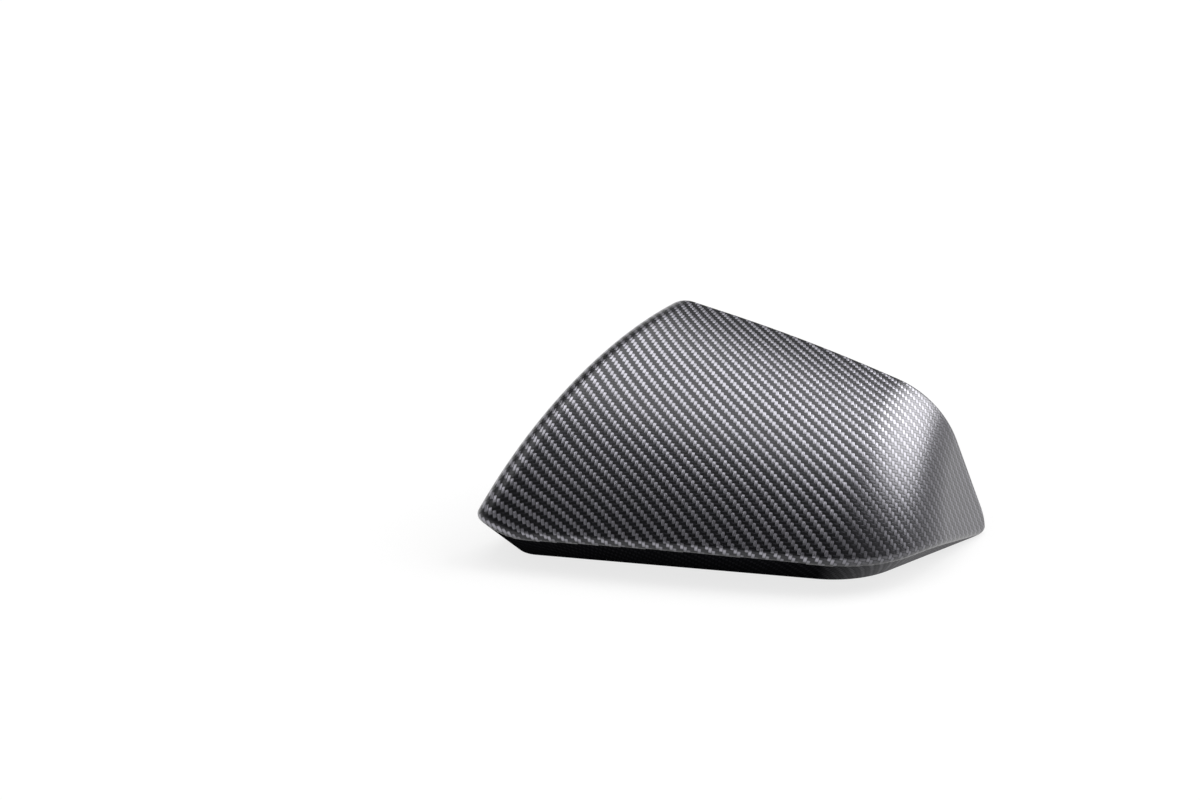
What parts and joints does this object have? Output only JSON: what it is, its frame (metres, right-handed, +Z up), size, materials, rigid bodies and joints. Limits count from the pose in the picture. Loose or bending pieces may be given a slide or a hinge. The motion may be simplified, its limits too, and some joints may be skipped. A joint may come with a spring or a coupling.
{
  "type": "wing mirror cover",
  "caption": "Thin carbon-fibre shell that caps a car's wing mirror housing: crowned roof, tight fold to a flat end wall, soft bend to a sloping one, undercut lower band, open behind.",
  "frame": {"origin": "under the middle of the bounding box, on the surface that the lower rim rests on", "axes": "+X along the cover towards its sloping end wall, +Y towards the open rear rim on the mirror glass's side, +Z up from the lower rim"},
  "size_m": [0.2254, 0.1346, 0.1032],
  "materials": {
    "carbon_twill": "satin clear coat over a black carbon-fibre twill weave, tows about 1.7 mm wide"
  },
  "bodies": {
    "root": {"mirror_cover": "carbon_twill"}
  },
  "joints": []
}
